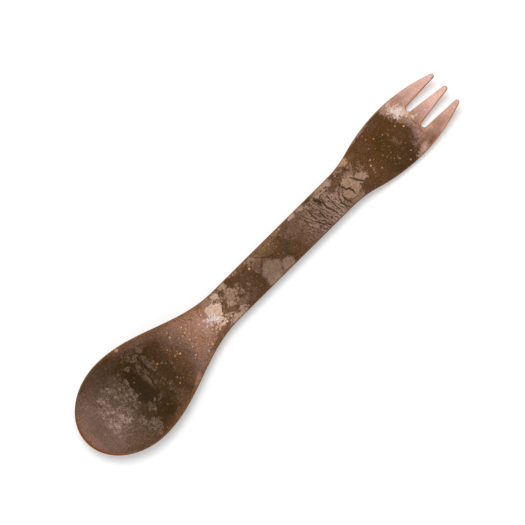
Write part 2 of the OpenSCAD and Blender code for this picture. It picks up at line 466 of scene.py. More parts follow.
class Canvas:
    """What is painted on one side of the spork, held for each of its points.

    A patch is given by its middle, its half length and half width, and the tone it is painted in."""

    def __init__(self, points):
        self.x, self.y = points[:, 0], points[:, 1]
        count = len(points)
        places = [place for place, _ in GROUND_RUN]
        tones = np.array([colour(tone) for _, tone in GROUND_RUN])
        waver = GROUND_WAVER - TINE_WAVER_DROP * smooth_step(self.x, *TINE_WAVER_X)
        place = self.x + waver * clumps(self.x, self.y, GROUND_WAVER_SIZE, GROUND_SEED)
        place += HEAD_BEND * self.y ** 2 * smooth_step(self.x, *HEAD_BEND_X)
        self.ground = np.column_stack([np.interp(place, places, tones[:, k]) for k in range(3)])
        self.grain = 1 - TINE_GRAIN_DROP * smooth_step(self.x, *TINE_GRAIN_X)
        self.lichen = np.zeros(count)
        self.lichen_colour = np.tile(colour("ash"), (count, 1))
        self.flake = np.full(count, NO_FLAKE)
        self.flake_colour = np.tile(colour("beige"), (count, 1))
        self.bark = np.zeros(count)
        self.crack = np.zeros(count)
        self.speckle = np.full(count, SPECKLE)
        self.speck = np.zeros(count)
        self.speck_colour = np.tile(colour("beige"), (count, 1))
        self.wavers = [clumps(self.x, self.y, PATCH_WAVER_SIZE, seed) for seed in PATCH_SEEDS]

    def apart(self, x, y, long, wide, turn, rough, power=2):
        """Distance from a patch's middle, as a share of its size, with a wavering edge.
        A high power squares the patch."""
        along = self.x + rough * self.wavers[0] - x
        across = self.y + rough * self.wavers[1] - y
        c, s = math.cos(math.radians(turn)), math.sin(math.radians(turn))
        u, v = np.abs(along * c + across * s) / long, np.abs(across * c - along * s) / wide
        return (u ** power + v ** power) ** (1 / power)

    def haze(self, x, y, long, wide, tone, strength=1, turn=0, soft=0.45, rough=0.9, calm=0.0, power=2):
        """A soft-edged change of the ground's colour, with less grain if wanted."""
        share = strength * within(self.apart(x, y, long, wide, turn, rough, power), soft)
        tint(self.ground, share, colour(tone))
        self.grain *= 1 - calm * share
        return share

    def gap(self, x, y, long, wide, tone, turn=0, rough=0.9):
        """A dark place that shows through moss and veins as well."""
        share = self.haze(x, y, long, wide, tone, turn=turn, rough=rough, soft=0.3)
        self.lichen *= 1 - share
        self.bark *= 1 - 0.7 * share

    def moss(self, x, y, long, wide, tone, strength=0.7, turn=0, rough=1.6, soft=0.3):
        """A cloud of fine clumps, densest in the middle."""
        share = within(self.apart(x, y, long, wide, turn, rough), soft)
        tint(self.lichen_colour, smooth_step(share, 0, 0.3), colour(tone))
        self.lichen = np.maximum(self.lichen, strength * share)

    def scale(self, x, y, long, wide, tone, turn=0, rough=0.8, dim=0.0, power=2):
        """A flake with a ragged but definite edge, dimmed towards brown if wanted."""
        inside = (1 - self.apart(x, y, long, wide, turn, rough, power)) * min(long, wide)
        shade = colour(tone) + dim * (colour("umber") - colour(tone))
        tint(self.flake_colour, smooth_step(inside, -0.35, 0), shade)
        self.flake = np.maximum(self.flake, inside)

    def hole(self, x, y, long, wide, turn=0, rough=0.5):
        """A gap in the flakes where the ground shows."""
        inside = (1 - self.apart(x, y, long, wide, turn, rough)) * min(long, wide)
        self.flake = np.minimum(self.flake, -inside * 2)

    def fur(self, path, half, tone, turn):
        """A tuft of short pale bristles along a path. They lie at an angle to it and give it a spiky edge."""
        apart, along = distance_to(np.column_stack([self.x, self.y]), np.array(path))
        lean = math.radians(turn)
        across = self.x * math.sin(lean) - self.y * math.cos(lean)
        down = self.x * math.cos(lean) + self.y * math.sin(lean)
        spikes = ripple(across, down, BRISTLE_W, BRISTLE_SEEDS[0])
        spikes += 0.6 * ripple(across, down * 0.3, FINE_BRISTLE_W, BRISTLE_SEEDS[1])
        inside = half * (0.55 + 0.45 * np.sin(np.pi * along)) - apart + BRISTLE_REACH * spikes
        tint(self.flake_colour, smooth_step(inside, -0.4, 0.1), colour(tone))
        self.flake = np.maximum(self.flake, np.minimum(inside, 0.9))

    def veins(self, x, y, long, wide, soft=0.35, rough=1.2):
        self.bark = np.maximum(self.bark, within(self.apart(x, y, long, wide, 0, rough), soft))

    def dust(self, x, y, long, wide, density, soft=0.4):
        """More or fewer small specks than elsewhere."""
        self.speckle += within(self.apart(x, y, long, wide, 0, 1), soft) * (density - self.speckle)

    def split(self, path, half):
        """A dark crack along a path, thinning out to both ends."""
        waver = CRACK_WAVER * ripple(self.x, self.y, CRACK_WAVER_SIZE, CRACK_SEED)
        apart, along = distance_to(np.column_stack([self.x + waver, self.y]), path)
        taper = 0.5 + 0.5 * np.sin(np.pi * np.clip(along, 0, 1))
        self.crack = np.maximum(self.crack, 1 - smooth_step(apart / (half * taper), 0.5, 1.3))

    def fleck(self, x, y, r, tone):
        apart = np.hypot(self.x - x, self.y - y) / r
        self.speck = np.maximum(self.speck, 1 - smooth_step(apart, 0.6, 1.2))
        self.speck_colour[apart < 1.6] = colour(tone)


def each(kind, rows, **shared):
    """Paints one patch of a kind for each row of its values, in the order in which that kind takes them.
    The shared values are the same in all rows."""
    for row in rows:
        kind(*row, **shared)


def paint_bowl(top):
    each(top.haze, [
        (17, 14.5, 9, 4, "earth"), (25, 13.4, 6, 2.6, "dark olive", 0.45),
        (22.4, 9.6, 2, 2, "dull ash", 0.45), (27, 16.2, 5, 1.4, "umber", 0.6),
    ])
    top.haze(5, 0, 6, 13, "rose brown", 0.5, calm=0.25)
    each(top.haze, [
        (4.2, 6.2, 2.4, 3, "dusty rose", 0.35), (9, -9, 5, 4, "rose brown", 0.8, -45),
        (13.6, -10, 3, 2.8, "earth", 0.6),
    ])
    # Painted highlight: a paler band just inside the rounded rim at the tip of the bowl
    top.haze(1.6, 0, 2, 8, "dusty rose", 0.4, calm=0.3)
    each(top.haze, [
        (7.5, -2, 2, 4, "dull ash", 0.35), (17, 0.4, 2, 2, "earth", 0.5), (13, -13, 6, 3, "russet", 0.2, -30),
        (14, -15.4, 8, 1.3, "umber", 0.6, -27), (14, 14, 4, 2, "russet", 0.3, 25),
        (12.6, 12, 3, 1.8, "rose brown", 0.4, 30), (13.4, 9, 2.6, 2.2, "earth", 0.4),
        (7, 9.5, 6, 4, "dusty brown", 0.5, 55),
    ])
    top.haze(28.8, 0.6, 2.8, 8, "peat", soft=0.2)
    each(top.haze, [
        (31, 8.2, 3.4, 2, "peat", 0.35), (28.5, 15.2, 3, 1.8, "earth", 0.45),
        (28, -3, 4.5, 2.5, "peat", 0.8, -40), (31.5, -11.4, 5.2, 3.4, "peat", 0.6),
        (31.6, -5.4, 2, 2, "peat", 0.8),
    ])
    top.gap(23.6, -7.6, 2.3, 2.1, "dark olive", rough=1.2)
    each(top.haze, [
        (25.6, -8, 2, 3, "dark olive", 0.6, 30), (42.2, 8.2, 3, 4, "dark olive", 0.7),
        (45.2, 12.2, 4.2, 2.8, "brown", 0.95), (50.8, 9.5, 4, 1.8, "wood rose", 0.35, -14),
        (46.5, -3, 3, 7, "umber", 0.8), (41, 1, 3, 6, "dark olive", 0.5),
        (42.4, -6.6, 3, 3.4, "dark olive", 0.4), (36, -1, 2.4, 2.8, "dark olive", 0.4),
        (38, -12.5, 4, 3, "umber", 0.7), (31, -16.6, 12, 1.6, "umber", 0.6, 5),
        (37, -15.6, 8, 1.4, "brown", 0.8, 12), (38, 15, 8, 1.8, "rose brown", 0.75, -14),
        (38, 14.2, 7, 2.4, "rust", 0.2, -14), (46.5, -12.4, 3, 0.8, "dusty rose", 0.8, 19),
    ])
    paint_lichen(top)
    each(top.dust, [(50, 0, 9, 9, 0.65), (41, -7, 4, 4, 0.45), (30, 0, 4, 9, 0.04)])


def paint_lichen(top):
    """The grey clouds in the bowl: one main cloud in front, then streaks that run across."""
    each(top.moss, [
        (16, 1, 6.8, 8.4, "ash", 0.62), (15, 5.4, 4.4, 3.8, "pale ash", 0.6, 0, 2.2),
        (21.6, 4.2, 4.4, 5.6, "dull ash", 0.66), (13.4, -3.8, 4.3, 3.8, "pale ash", 0.63, 0, 2.4),
        (15.4, -4.7, 3.4, 1.8, "dusty ash", 0.74, -10, 2.2), (18.4, 8.6, 1.5, 2.4, "ash", 0.75, 40, 0.9),
        (20.3, 7.5, 0.8, 2.6, "ash", 0.85, 35, 0.8), (22.5, 6.5, 3, 3, "dull ash", 0.66),
        (25.2, 1.6, 1.4, 3.2, "dull ash", 0.9, 0, 1, 0.12), (26, 6.4, 0.8, 1.4, "dull ash", 0.9, 0, 0.8),
        (23, -3.6, 1.8, 1.6, "dull ash", 0.6), (22.4, 0, 1.8, 2.4, "ash", 0.6), (13, -8, 4, 2, "ash", 0.55),
        (23, -13.8, 3.1, 3.4, "dull ash", 0.82, 0, 1.6, 0.2), (20.5, -9, 2.4, 1.8, "dull ash", 0.75),
        (27.7, -7.2, 1.6, 1.9, "dull ash", 0.72, -30, 2.4), (29.2, -6, 1.3, 0.6, "dull ash", 0.7, 20),
        (27.2, -9, 0.5, 1.1, "ash", 0.8, -30, 0.6), (32.5, -7.3, 2.2, 1, "earth", 0.6),
        (30.2, 9.1, 1.3, 1.2, "dull ash", 0.9, 45, 0.7), (28.6, 10, 1.4, 0.8, "dull ash", 0.55),
        (32.9, 1, 0.7, 3.4, "earth", 0.8, 0, 0.8), (34.4, 3, 0.8, 7, "earth", 0.72, 4),
        (33, 6, 1.8, 1.6, "earth", 0.75),
    ])
    for x, y, wide, turn in ((36.5, 6.2, 3.4, 8), (37.5, 6.6, 3.2, 3), (38.4, 4, 2.6, -8), (37.2, 3, 2, 10)):
        top.moss(x, y, 0.7, wide, "earth", 0.85, turn, rough=1.3)
    each(top.moss, [
        (36, -2, 1.6, 3, "earth", 0.5), (25.4, 9.4, 1.8, 1.6, "dull ash", 0.55),
        (37.5, -7.8, 2, 2.4, "earth", 0.6), (31.8, 4.4, 1, 2.2, "earth", 0.5),
        (35.5, 13, 8, 2.6, "rose ash", 0.5, 0, 2.2), (39, 11.7, 2.6, 1.8, "rose ash", 0.8, -15),
    ])
    for x, y, wide in ((33, 10.6, 2.4), (34.6, 9.2, 1.8), (35.4, 11.4, 2.2)):
        top.moss(x, y, 0.9, wide, "dull ash", 0.72, 15, rough=1.2)
    each(top.moss, [(47, 11, 2.4, 1.4, "rose ash", 0.7, -20), (38, -12.5, 4, 2.5, "earth", 0.6)])


# The fan of cream streaks on the neck: where they meet, and how far their middles are from there
FAN_X = 68.2
FAN_Y = -0.2
FAN_REACH = 2.8


def paint_neck(top):
    top.haze(50, -0.5, 3, 6, "brown", 0.45)
    top.haze(62, 0.1, 3.5, 3.8, "pink", rough=1.5, calm=0.35)
    each(top.haze, [
        # Painted shade: darker bands inside the -Y edge of the neck, where the rounded edge turns away from
        # the light
        (63, -7.6, 9, 1.2, "brown", 1, 9), (66.5, -5.8, 4.5, 1.2, "russet", 0.8, 9),
        (56, -7, 4, 2, "dusty brown", 0.5, 12), (57, -3.4, 3.8, 3.6, "dull rose", 0.35),
        (58.2, 0.4, 2.4, 2.4, "dull rose", 0.3), (64.8, -3, 1.8, 1.8, "dull rose", 0.75),
        (66.5, 6.4, 3, 0.9, "rust", 0.8, -8), (73, -3.5, 4, 2.2, "brown"), (72.4, -3, 3, 2, "rust", 0.35),
        (87, 6.2, 4, 1.2, "olive tan", 0.6), (73.3, 1.2, 3.2, 1.1, "brown", 1, 42),
    ])
    each(top.moss, [
        (81, 0.8, 2.2, 2.4, "grey brown", 0.7), (79.5, -3.2, 3, 1.8, "rose ash", 0.85),
        (83.5, -3, 3.4, 3, "rose ash", 0.55), (85.8, 2.4, 2.8, 2.2, "rose ash", 0.4),
    ])
    top.scale(68.8, 2.1, 2.9, 2.7, "cream", power=4, rough=0.5)
    top.scale(70.1, 1.3, 2.4, 2.4, "cream", 45, power=6, rough=0.3)
    top.scale(67.9, -2.3, 1.9, 2.7, "cream", 15, power=3, rough=0.6)
    top.scale(66.6, 1.6, 1.2, 1.2, "rose cream", rough=0.4)
    top.hole(73.1, 1, 3.6, 0.7, 45, rough=0.35)
    top.scale(73.5, 3.3, 1.1, 1, "beige", dim=0.1)
    for turn in (-22, -8, 4, 15, 30, 46, 62):
        lean = math.radians(turn)
        x, y = FAN_X - FAN_REACH * math.cos(lean), FAN_Y - FAN_REACH * math.sin(lean)
        top.scale(x, y, 2.3, 0.24, "cream", turn, rough=0.3)
    top.scale(66.2, 0, 2.5, 0.85, "pearl", -31, rough=0.15, power=3)
    for x, y, dim in (
        (67.2, -4.1, 0.1), (69.4, -4.6, 0.1), (71.4, -2.8, 0.42), (71.8, -4, 0.2), (73, -3.4, 0.55),
    ):
        top.scale(x, y, 1.4, 0.65, "cream", -15, rough=0.7, dim=dim)
    top.scale(68.6, 6.2, 2.4, 1.2, "tan", dim=0.1)
    top.scale(72.2, 5.6, 1.7, 1.6, "cream", dim=0.15)
    top.scale(75, 6.8, 2, 0.8, "tan")
    top.scale(76.9, 5.9, 1.4, 1, "beige", rough=1.1)
    top.scale(77.6, 1.9, 2.4, 2.4, "tan", 45, power=4, rough=0.5)
    top.scale(76.4, -0.6, 2.4, 1.8, "tan", -10, power=3, rough=0.5)
    top.scale(74.5, -0.7, 0.9, 0.7, "beige pink", rough=0.3)
    top.scale(74.6, -6.3, 4.3, 1.3, "beige pink")
    top.scale(77.3, -5, 1.6, 0.9, "tan pink", dim=0.1)
    top.scale(83.2, 6.8, 1.7, 0.5, "rosy", rough=0.3, dim=0.1)
    each(top.hole, [
        (71.5, 3.6, 1.3, 0.3, -60), (73, 2.5, 1.2, 0.3, 60), (74.6, 5.9, 0.3, 1.5, -30),
        (74, 4, 0.9, 0.35, 70), (70.6, 6, 0.3, 1, 10), (70.9, 4.3, 0.9, 0.4, 30), (68, -3.1, 1.4, 0.2),
        (78.9, 0.4, 1.7, 0.3, 60), (77, -1.6, 0.3, 1, 20), (76.2, 2.6, 0.2, 0.9, 40),
    ])
    top.dust(55, 0, 7, 8, 0.65)


def paint_handle(top):
    each(top.haze, [
        (89.8, -2, 1.3, 4, "dark olive", 0.6), (100, 6.2, 9.5, 1.4, "olive tan"),
        (104.5, -2, 2.4, 4, "dark olive", 0.5), (113, 0, 3.5, 6, "brown", 0.6),
        (96.5, 3.4, 6.5, 1.7, "olive tan", 0.5),
    ])
    top.haze(95.6, 4.6, 3.6, 1.4, "olive tan", 0.8, soft=0.25)
    top.haze(95.4, -2.7, 3.5, 3.5, "dusty tan", 0.9, 45, soft=0.2, rough=0.8, calm=0.3, power=4)
    top.haze(93.5, -5.6, 3, 2, "dusty tan", soft=0.2, rough=0.8, calm=0.2)
    top.haze(101.4, -4.9, 2.3, 1.7, "dusty tan", 0.85, soft=0.25, rough=0.9, power=3)
    top.haze(97, -6.3, 6, 0.9, "tan", 0.45)
    each(top.moss, [
        (92, 5, 2.2, 1.6, "grey brown", 0.8), (91.6, 1.6, 2, 2.6, "rose ash", 0.8),
        (94.4, 3.3, 1.4, 1, "rose ash", 0.8), (88.5, 5.8, 1.2, 0.8, "grey brown", 0.9),
        (101.5, 3.4, 2.4, 1.1, "rose ash", 0.75), (107, 3.8, 2.6, 1.8, "rose ash", 0.65),
    ])
    top.gap(88.6, 3, 1.3, 1.9, "umber")
    top.moss(113, 0, 5.6, 7, "rose ash", 0.6)
    top.gap(107.9, -2.8, 3.2, 2.8, "umber", rough=1.5)
    top.scale(105, 6.6, 1.2, 0.5, "tan", dim=0.3)
    each(top.scale, [(114.4, 6.4, 1.7, 1.1, "beige pink"), (118.6, 6.3, 1.2, 1.2, "tan pink")])
    top.dust(104, 1, 6, 5, 0.45)


def paint_bark(top):
    """Bark-like ridges across the handle, with a broken flake and dark places along the +Y side."""
    top.veins(125.5, -1.5, 11, 9)
    each(top.moss, [
        (126, -1, 10, 8, "grey brown", 0.69), (123, -2.2, 3, 3.4, "rose ash", 0.62),
        (131, -0.4, 2.8, 3.4, "dusty ash", 0.95), (131, 0.2, 1.8, 1.8, "dusty rose", 0.7),
        (127.8, -5.2, 1.8, 1.4, "dusty ash", 0.9),
    ])
    top.gap(121.4, 2.4, 1.1, 1.1, "brown")
    each(top.haze, [(115.4, -2.4, 2.4, 3, "umber", 0.3), (118.6, 3.6, 2, 2, "umber", 0.5)])
    top.gap(125.2, 3.6, 0.9, 2.2, "dark olive", rough=0.5)
    top.gap(122.7, 6.5, 2.6, 0.8, "umber")
    top.gap(133.8, 3.6, 3.4, 1.6, "brown", 14)
    each(top.scale, [
        (128, 5, 2.4, 1.1, "warm tan"), (130.2, 6.2, 4, 1.2, "warm tan"), (132.3, 5.9, 1.2, 1.2, "beige"),
    ])
    for x, y in ((127.8, 4.3), (129.6, 4.2), (131, 5.2), (128.8, 5.4)):
        top.split(np.array([(x - 0.7, y + 0.1), (x + 0.7, y - 0.1)]), 0.26)


def paint_fork_root(top):
    each(top.haze, [
        (136, 6.2, 2, 1, "umber"), (143.5, -7, 4.2, 2.2, "umber", 0.8), (142.5, 4.6, 2, 1.2, "umber", 0.7),
        (146.2, 0.6, 2.4, 3.4, "dull rose", 0.45), (145.5, 5.9, 2.8, 2.6, "olive tan"),
    ])
    each(top.moss, [(142, 3, 2.8, 1.9, "grey brown", 0.75), (145.6, 1.6, 1.6, 1.8, "grey brown", 0.6)])
    top.scale(137.5, -2.4, 3.3, 2.7, "warm tan", dim=0.14)
    top.scale(140, -2.6, 2, 1.9, "warm tan", dim=0.05)
    each(top.scale, [
        (138.8, 0.9, 3.1, 2.2, "warm tan"), (143, -1.3, 2.8, 2.1, "tan pink", -10),
        (137.4, -6.2, 3, 1.1, "grey brown"),
    ])
    top.scale(138.3, 6.3, 1.8, 0.6, "tan", dim=0.15)
    top.scale(142.2, 7.4, 2.2, 1.6, "ochre tan", rough=0.4)
    top.scale(139.8, 3.4, 1.5, 0.9, "tan", dim=0.2)
    top.hole(140.6, 4, 0.9, 0.3, 40)


def paint_fork_head(top):
    top.haze(157, 0, 9, 10, "saddle", 0.6, soft=0.25)
    each(top.haze, [
        (158, -3.4, 4, 5, "bark brown", 0.7), (151, 1.4, 7, 8.4, "saddle", 0.9),
        (151.8, -5.6, 3.4, 2.2, "umber", 0.4), (163.4, 7.6, 2.4, 4.4, "saddle", 0.7),
        (148.4, -1, 2.6, 3.6, "brown", 0.5), (160.2, -7.6, 6.4, 5.4, "bark dark"),
        (158.4, -1, 4.8, 7, "bark brown", 0.8), (150, 6, 5, 3.5, "brown", 0.4),
        (158.5, 9.8, 6, 1.6, "brown", 0.7, 3), (152.5, 10.7, 6, 0.7, "pink", 0.7, 7),
    ])
    each(top.moss, [(162.4, -1.2, 1.7, 1.9, "rose ash", 0.62), (162.8, -4.8, 1.1, 0.8, "rose ash", 0.6)])
    each(top.moss, [
        (167.3, 9.3, 1.8, 1.8, "grey brown", 1), (169.4, 2.9, 2.6, 1.4, "grey brown", 0.95, -35),
        (170.4, 0.8, 1.6, 1.5, "mouse brown", 0.95), (166.9, 6.4, 0.9, 2, "grey brown", 0.6),
        (172, -2, 1.5, 2.8, "mouse brown", 0.9), (169.8, -4, 1.2, 1.6, "mouse brown", 0.8),
        (168.2, -6.6, 2.6, 1.8, "rose brown", 0.75),
    ], rough=1)
    top.gap(169.5, -8.4, 1.8, 0.6, "russet", 15)
    top.haze(166.3, -8.9, 1.8, 1.1, "umber", 0.75)
    # Painted highlight over the pale fibres at the tine roots: a rose cream and a cream haze
    top.haze(170.3, 6.8, 3, 1.3, "rose cream", 0.75, -56, rough=0.5)
    top.haze(173, 4.2, 0.9, 1.6, "cream", 0.8, rough=0.3)
    top.haze(172.4, 1, 1.8, 2, "tan rose", 0.7)
    top.fur([(166.4, 10.3), (168.8, 9.2)], 1.5, "warm tan", -70)
    each(top.fur, [
        ([(166.4, 8.4), (168, 6), (169.8, 3), (171, 1)], 0.5, "dusty rose"),
        ([(171.2, 1.6), (171.9, -1), (171.6, -3.6), (170.8, -4.6)], 0.4, "tan rose"),
        ([(171.8, 8.2), (172.9, 6.6), (173.4, 5.2)], 0.8, "beige pink"),
        # The same painted highlight over pale fibres: cream, rose cream and pearl tufts, brightest in the
        # pearl middle
        ([(169, 8.6), (170, 7.4), (171, 5.8), (172.4, 3.7)], 2.2, "fur cream"),
        ([(168.6, 8.4), (170.6, 6), (171.4, 4.8)], 1.3, "rose cream"),
        ([(169.4, 7.7), (170.8, 5.6)], 1, "pearl"),
    ], turn=20)
    top.scale(168.6, -10.9, 1.6, 1.6, "warm tan", power=4, rough=0.4)
    top.scale(166.2, -11.3, 2.2, 1, "tan rose", 30, rough=0.5)
    top.fur([(164.4, -11.5), (167, -11), (170, -9.6)], 0.9, "tan rose", 60)
    top.fur([(168, -11), (169.6, -10.2)], 0.7, "beige pink", 60)
    each(top.scale, [(173.3, 0.9, 0.9, 0.6, "cream"), (174.9, 0.4, 0.5, 0.35, "cream")])
    paint_tines(top)
    top.dust(156, 0, 9, 9, 0.72)


def paint_tines(top):
    each(top.haze, [(173, 9, 2.5, 3, "tan rose", 0.6), (180, 7.4, 5, 3, "rosy", 0.35)])
    top.haze(188, -0.3, 3.4, 2.4, "tip pink", soft=0.4)
    each(top.haze, [
        (175.6, 9.4, 4.4, 1.8, "wood rose", 0.3, -6), (174, -9.3, 5.5, 2.4, "tine brown", 1, 8),
        (172.3, -8.8, 2.5, 2.8, "dull rose", 0.95), (182.5, -8.8, 5, 1, "tan rose", 0.6, 10),
        (171.5, -10.8, 2.5, 0.9, "russet", 0.5), (179, -7.2, 5, 2, "tan rose", 0.8, 4),
        (179.6, -7.6, 2.6, 1.6, "wood rose", 0.35, 4), (186, -7, 5, 1.6, "peach", 0.8),
        (177, 0, 3.5, 2, "dusty rose", 0.2),
    ])
    top.dust(180, 0, 9, 11, 0.6)


# Half widths and paths of the cracks that show as dark lines
CRACKS = [
    (0.4, [(36, 9.5), (35.6, 6.5), (35.5, 4.7), (35.2, 1.5)]),
    (0.3, [(33.7, 2.8), (33.9, 0.5), (33.2, -1.5)]),
    (0.17, [(93.2, 5.6), (95.6, 3.2), (97, 2.1), (99.6, 0.7)]),
    (0.12, [(95.6, 3.1), (93.8, 1.8), (91.5, -0.2)]),
    (0.2, [(116.6, 1), (116.9, -0.4)]),
    (0.32, [(120.3, 3), (120.1, 0.6), (120.7, -1)]),
    (0.32, [(119.5, -1), (120.6, -3.6), (123, -6.4)]),
    (0.32, [(123.4, 0.6), (123, -1.8), (123.3, -4)]),
    (0.42, [(124.6, 4.6), (126.3, 2), (126.2, -0.6), (127, -2.2), (127.7, -5)]),
    (0.3, [(129, 0.5), (128.9, -2), (129.3, -4)]),
    (0.36, [(132, -1.4), (131.5, -3), (132.3, -6.4)]),
    (0.36, [(133.7, -1.2), (133.3, -3), (134.4, -6.3)]),
    (0.26, [(133.3, 1.2), (132.8, -1)]),
    (0.42, [(135.3, 2.3), (136.1, -0.8), (137.2, -1.3), (137.8, -2.8), (137.5, -4.6)]),
    (0.46, [(140.2, 1.4), (141.4, -0.6), (142.4, -2.3), (143.3, -3.5)]),
    (0.22, [(140.6, 5.2), (141.6, 4.2), (142.2, 2.6)]),
]

# The brightest specks by their tone: place and radius
FLECKS = {
    "apricot": [
        (32.3, 17, 0.85), (55.2, 3.5, 0.4), (54.7, 0.4, 0.4), (48.4, -0.8, 0.45), (52.2, -5.3, 0.4),
        (56.9, -0.6, 0.3), (57.8, -2, 0.26), (89.3, 3.6, 0.5), (149.1, -1.1, 0.42), (168.4, 0.8, 0.4),
        (175.7, -6.6, 0.65),
    ],
    "gold": [(49.9, 6.3, 0.5), (59.7, -6.8, 0.5), (107.6, 6.3, 0.42)],
    "ochre": [(46.4, 0, 0.4), (55.5, -2.5, 0.32), (39.5, 2.5, 0.4), (40.6, -8.6, 0.35), (166.1, 3.1, 0.4)],
    "beige": [(53.8, 3.2, 0.35), (56.4, 4.2, 0.4), (60.7, -0.6, 0.4), (100.9, 5, 0.3)],
    "tan rose": [
        (52, 3.7, 0.35), (58.3, -6, 0.32), (51.2, 1.9, 0.28), (51.3, -6, 0.3), (164, -7.6, 0.32),
        (157, 5.4, 0.36), (154.6, 7.2, 0.28), (19.3, 4.7, 0.36),
    ],
    "beige pink": [
        (56.9, -7.7, 0.4), (59.8, 3.9, 0.3), (60.2, -3.3, 0.26), (57.4, 5.3, 0.3), (61, 5.4, 0.26),
        (56.2, 2.2, 0.26), (53.6, -2.2, 0.28),
    ],
    "dusty rose": [
        (53.3, 7.2, 0.5), (41.3, -6.3, 0.35), (16.7, 1, 0.5), (2, 0.4, 0.4), (8.7, 9.4, 0.3),
        (13.4, 10.4, 0.3), (45.9, 3.6, 0.4), (37.6, -6.1, 0.3),
    ],
    "rosy": [(62, 3.6, 0.32), (58.6, 1.3, 0.26), (58.9, 4.9, 0.28), (60.9, -2.2, 0.28), (63.6, -2.6, 0.26)],
    "tip pink": [(61.2, 1.9, 0.3), (63.2, 1.5, 0.3), (62.7, -0.9, 0.3), (64.2, 4, 0.32), (55.7, 5.9, 0.28)],
    "rust": [(41.1, 1.6, 0.4)],
    "tan": [
        (85, 0.1, 0.3), (148.8, -3.1, 0.34), (148.4, -4, 0.3), (158.9, -6.8, 0.32), (153, 4, 0.3),
        (155.2, -1.4, 0.3), (160.4, 4.1, 0.28), (161.5, -10, 0.4),
    ],
    "ochre tan": [(150.4, 0.6, 0.36), (151.6, -4.6, 0.3)],
    "fur cream": [(173.2, 0.9, 0.6), (174.7, 0.5, 0.4)],
    "pearl": [(178.4, -0.4, 0.3), (186.7, -7.4, 0.3)],
    "moss green": [(28.2, 3.7, 0.45), (26.9, -1, 0.4), (31.7, -11, 0.45)],
    "rose brown": [(35.9, -2.9, 0.3), (43.7, -1.2, 0.35)],
}

# Half widths and paths of the furry places, where the mesh is finer. The first holds the pale patch at the
# tine roots, which is partly pale fibres and partly a painted highlight.
TUFTS = [
    (2.6, [(165.5, 10), (168.5, 9), (171.5, 4.5), (171.5, -4)]),
    (1.6, [(164.5, -11), (169.5, -10)]),
]
SPECK_PATH_L = 0.01


def fine_places():
    """Paths and half widths of the marks that need a finer mesh. A speck counts as a very short path."""
    lines = [(np.array(path, float), half) for half, path in CRACKS + TUFTS]
    dots = [(x, y, r) for spots in FLECKS.values() for x, y, r in spots]
    return lines + [(np.array([(x, y), (x + SPECK_PATH_L, y)]), r) for x, y, r in dots]


EDGE_LINE_W = 0.45
FRONT_EDGE_W = 0.5
EDGE_WAVER = 0.1
EDGE_WAVER_SIZE = 1.5
EDGE_SHARE = 0.65
WARM_SHARE = 0.36
# The extra rust on the +Y side is painted light on the lit side of the rounded edge
LIT_SIDE_RUST_SHARE = 0.34


def paint_edge(canvas, apart, lower):
    """The cut edge: an amber band round the tip of the bowl, and a brown line. On the +Y side the line is
    lighter gold
    and the rust band beside it stronger: painted light on the lit side of the rounded edge. On the tines the
    line is faint on the +Y edges and full on the -Y edges: painted shade on the side away from the light,
    over the edge's own colour.
    Lower is 1 where the edge faces -Y and -1 where it faces +Y."""
    front = 1 - smooth_step(canvas.x, *FRONT_EDGE_X)
    tines = smooth_step(canvas.x, *TINE_EDGE_X)
    upper = 1 - smooth_step(lower, -0.5, 0.3)
    width = EDGE_LINE_W + FRONT_EDGE_W * front
    width += EDGE_WAVER * ripple(canvas.x, canvas.y, EDGE_WAVER_SIZE, EDGE_SEED)
    # On the tines the line is full on the -Y edges and fainter on the +Y edges: painted shade on the side
    # away from the light
    strong = np.maximum(front, tines * smooth_step(lower, 0.3, 0.8))
    faint = tines * (1 - smooth_step(lower, -0.2, 0.4))
    canvas.edge = (1 - smooth_step(apart / width, 0.7, 1.25)) * (EDGE_SHARE + (1 - EDGE_SHARE) * strong)
    canvas.edge *= 1 - faint / 2
    canvas.edge_colour = np.tile(colour("edge brown"), (len(apart), 1))
    # Gold on the +Y side: painted light on the lit side of the rounded edge
    for share, tone in ((upper, "lit gold brown"), (front, "amber"), (tines, "tine edge")):
        tint(canvas.edge_colour, share, colour(tone))
    # A rust band beside the edge along the bowl's back: partly the edge's own colour, and on the +Y side
    # painted light
    along = smooth_step(canvas.x, *WARM_START_X) * (1 - smooth_step(canvas.x, *WARM_END_X))
    warm = along * (1 - smooth_step(apart, 0.6, 1.8)) * (WARM_SHARE + LIT_SIDE_RUST_SHARE * upper)
    tint(canvas.ground, warm, colour("rust"))


UNDER_PATCHES = 40
UNDER_TONES = ["peat", "brown", "ash", "pale ash", "stone"]
UNDER_SHARES = [0.5, 0.35, 0.15]
UNDER_MARGINS = (3, 15)
UNDER_REACH_SHARE = 0.8
UNDER_LONG = (1.5, 6)
UNDER_WIDE = (1.5, 5)


def paint_under(under):
    """The side that isn't seen has the same kinds of patches, placed by a seeded draw."""
    draw = np.random.default_rng(UNDER_SEED)
    for _ in range(UNDER_PATCHES):
        x = draw.uniform(UNDER_MARGINS[0], LENGTH - UNDER_MARGINS[1])
        y = draw.uniform(-UNDER_REACH_SHARE, UNDER_REACH_SHARE) * float(half_width(np.array(x)))
        size = (draw.uniform(*UNDER_LONG), draw.uniform(*UNDER_WIDE))
        kind = draw.choice([under.haze, under.moss, under.scale], p=UNDER_SHARES)
        tone = str(draw.choice(UNDER_TONES))
        kind(x, y, *size, tone, turn=draw.uniform(-90, 90))


# Material

# Sizes of the parts of its figure, in millimetres
FINE_SIZE = 0.42
STREAK_SIZE = 0.36
BLOTCH_SIZE = 2.2
DRIFT_SIZE = 1.0
STRAND_SIZE = 0.95
THREAD_SIZE = 1.3
VEIN_GAP = 1.45
VEIN_BEND = 3.6
VEIN_BEND_SIZE = 1.8
VEIN_BREAK_SIZE = 1.5
RAGGED = 4.5
RAGGED_SIZE = 1.0
PIT_SIZE = 0.7
CRAZE_SIZE = 2.0
SMALL_GRAIN = 0.8
LARGE_GRAIN = 1.3
BUMP_DEPTH = 0.06

BUMP_STRENGTH = 0.6
GLOSS = 0.05


